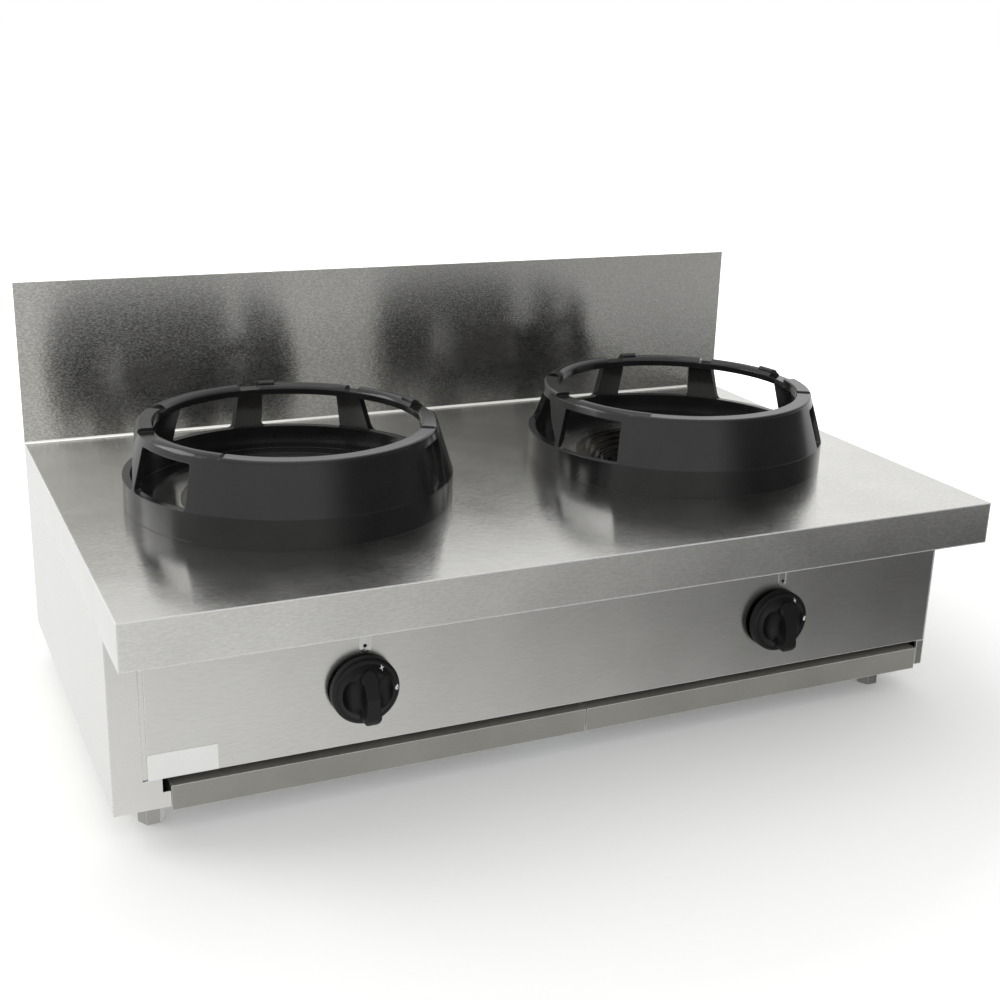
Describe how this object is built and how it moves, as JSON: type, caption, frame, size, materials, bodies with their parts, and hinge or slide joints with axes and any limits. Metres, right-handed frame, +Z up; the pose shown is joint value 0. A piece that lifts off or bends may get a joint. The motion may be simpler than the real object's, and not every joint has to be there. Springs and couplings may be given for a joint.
{
  "type": "wok range",
  "caption": "Countertop gas wok range of folded sheet with raised cast wok rings, stepped burner wells, push-and-turn knobs, pull-out drip trays and a splashback",
  "frame": {"origin": "on the floor, at the centre of the footprint of the worktop and splashback", "axes": "+X to the user's right along the worktop, +Y away from the user to the splashback, +Z up"},
  "size_m": [1, 0.6, 0.474],
  "materials": {
    "stainless_steel": "satin brushed stainless sheet",
    "pressed_steel": "plain pressed stainless sheet",
    "galvanised_steel": "dull zinc coating",
    "zinc_fasteners": "bright zinc plating",
    "foot_steel": "turned and plated steel",
    "ring_iron": "black enamel on cast iron, semi-gloss",
    "burner_iron": "bare cast iron, matt",
    "shutter_steel": "plain sheet steel",
    "brass": "machined brass",
    "manifold_pipe": "dark grey paint",
    "gas_pipe": "drawn bright pipe",
    "knob_plastic": "moulded, fine satin",
    "spindle_steel": "turned bright steel",
    "frame_chrome": "polished pressed frame",
    "label_white": "blank white label"
  },
  "bodies": {
    "range": {"base_frame": "galvanised_steel", "burner_body_left": "burner_iron", "burner_body_right": "burner_iron", "burner_bolts": "zinc_fasteners", "burner_nuts": "zinc_fasteners", "burner_well_left": "pressed_steel", "burner_well_right": "pressed_steel", "control_panel": "stainless_steel", "control_panel_studs": "zinc_fasteners", "feed_pipe_left": "gas_pipe", "feed_pipe_right": "gas_pipe", "foot_lock_nuts": "zinc_fasteners", "foot_sockets": "zinc_fasteners", "front_cross_rail": "galvanised_steel", "gas_manifold": "manifold_pipe", "gas_valve_left": "brass", "gas_valve_right": "brass", "injectors": "brass", "inlet_fitting": "brass", "inlet_lock_nut": "brass", "label_plate": "label_white", "left_side_panel": "stainless_steel", "manifold_hangers": "galvanised_steel", "manifold_plug": "brass", "pilot_burners": "brass", "pilot_pipe_left": "gas_pipe", "pilot_pipe_right": "gas_pipe", "rear_cross_rail": "galvanised_steel", "rear_panel": "stainless_steel", "rear_panel_screws": "zinc_fasteners", "right_side_panel": "stainless_steel", "sight_frames": "frame_chrome", "splashback": "stainless_steel", "thermocouples": "gas_pipe", "tray_runner_centre": "galvanised_steel", "tray_runner_left": "galvanised_steel", "tray_runner_right": "galvanised_steel", "valve_clamp_screws": "zinc_fasteners", "valve_clamps": "zinc_fasteners", "valve_spring_left": "spindle_steel", "valve_spring_right": "spindle_steel", "worktop": "stainless_steel"},
    "wok_ring_left_lift": {"wok_ring_left": "ring_iron"},
    "burner_crown_left_lift": {"burner_crown_left": "burner_iron"},
    "air_shutter_left_disc": {"air_shutter_left": "shutter_steel"},
    "valve_push_left": {"valve_washer_left": "spindle_steel"},
    "knob_and_spindle_left": {"knob_left": "knob_plastic", "spindle_left": "spindle_steel"},
    "tray_left": {"drip_tray_left": "stainless_steel"},
    "levelling_front_left": {"foot_front_left": "foot_steel"},
    "levelling_rear_left": {"foot_rear_left": "foot_steel"},
    "wok_ring_right_lift": {"wok_ring_right": "ring_iron"},
    "burner_crown_right_lift": {"burner_crown_right": "burner_iron"},
    "air_shutter_right_disc": {"air_shutter_right": "shutter_steel"},
    "valve_push_right": {"valve_washer_right": "spindle_steel"},
    "knob_and_spindle_right": {"knob_right": "knob_plastic", "spindle_right": "spindle_steel"},
    "tray_right": {"drip_tray_right": "stainless_steel"},
    "levelling_front_right": {"foot_front_right": "foot_steel"},
    "levelling_rear_right": {"foot_rear_right": "foot_steel"}
  },
  "joints": [
    {"name": "wok_ring_left_lift_off", "type": "slide", "parent": "range", "child": "wok_ring_left_lift", "axis": [0, 0, 1], "range_m": [0, 0.15]},
    {"name": "burner_crown_left_lift_out", "type": "slide", "parent": "range", "child": "burner_crown_left_lift", "axis": [0, 0, 1], "range_m": [0, 0.06]},
    {"name": "air_shutter_left_turn", "type": "hinge", "parent": "range", "child": "air_shutter_left_disc", "pos_m": [-0.25, -0.096, 0.133], "axis": [0, 1, 0], "range_deg": [0, 45]},
    {"name": "knob_left_push", "type": "slide", "parent": "range", "child": "valve_push_left", "axis": [0, 1, 0], "range_m": [0, 0.003], "stiffness_N_per_m": 1500, "springref_m": -0.002, "deforming": ["valve_spring_left"]},
    {"name": "knob_left_turn", "type": "hinge", "parent": "valve_push_left", "child": "knob_and_spindle_left", "pos_m": [-0.242, -0.24, 0.133], "axis": [0, -1, 0], "range_deg": [0, 180]},
    {"name": "tray_left_slide", "type": "slide", "parent": "range", "child": "tray_left", "axis": [0, -1, 0], "range_m": [0, 0.38]},
    {"name": "foot_front_left_screw_out", "type": "slide", "parent": "range", "child": "levelling_front_left", "axis": [0, 0, -1], "range_m": [0, 0.015]},
    {"name": "foot_rear_left_screw_out", "type": "slide", "parent": "range", "child": "levelling_rear_left", "axis": [0, 0, -1], "range_m": [0, 0.015]},
    {"name": "wok_ring_right_lift_off", "type": "slide", "parent": "range", "child": "wok_ring_right_lift", "axis": [0, 0, 1], "range_m": [0, 0.15]},
    {"name": "burner_crown_right_lift_out", "type": "slide", "parent": "range", "child": "burner_crown_right_lift", "axis": [0, 0, 1], "range_m": [0, 0.06]},
    {"name": "air_shutter_right_turn", "type": "hinge", "parent": "range", "child": "air_shutter_right_disc", "pos_m": [0.25, -0.096, 0.133], "axis": [0, 1, 0], "range_deg": [0, 45]},
    {"name": "knob_right_push", "type": "slide", "parent": "range", "child": "valve_push_right", "axis": [0, 1, 0], "range_m": [0, 0.003], "stiffness_N_per_m": 1500, "springref_m": -0.002, "deforming": ["valve_spring_right"]},
    {"name": "knob_right_turn", "type": "hinge", "parent": "valve_push_right", "child": "knob_and_spindle_right", "pos_m": [0.268, -0.24, 0.133], "axis": [0, -1, 0], "range_deg": [0, 180]},
    {"name": "tray_right_slide", "type": "slide", "parent": "range", "child": "tray_right", "axis": [0, -1, 0], "range_m": [0, 0.38]},
    {"name": "foot_front_right_screw_out", "type": "slide", "parent": "range", "child": "levelling_front_right", "axis": [0, 0, -1], "range_m": [0, 0.015]},
    {"name": "foot_rear_right_screw_out", "type": "slide", "parent": "range", "child": "levelling_rear_right", "axis": [0, 0, -1], "range_m": [0, 0.015]}
  ]
}
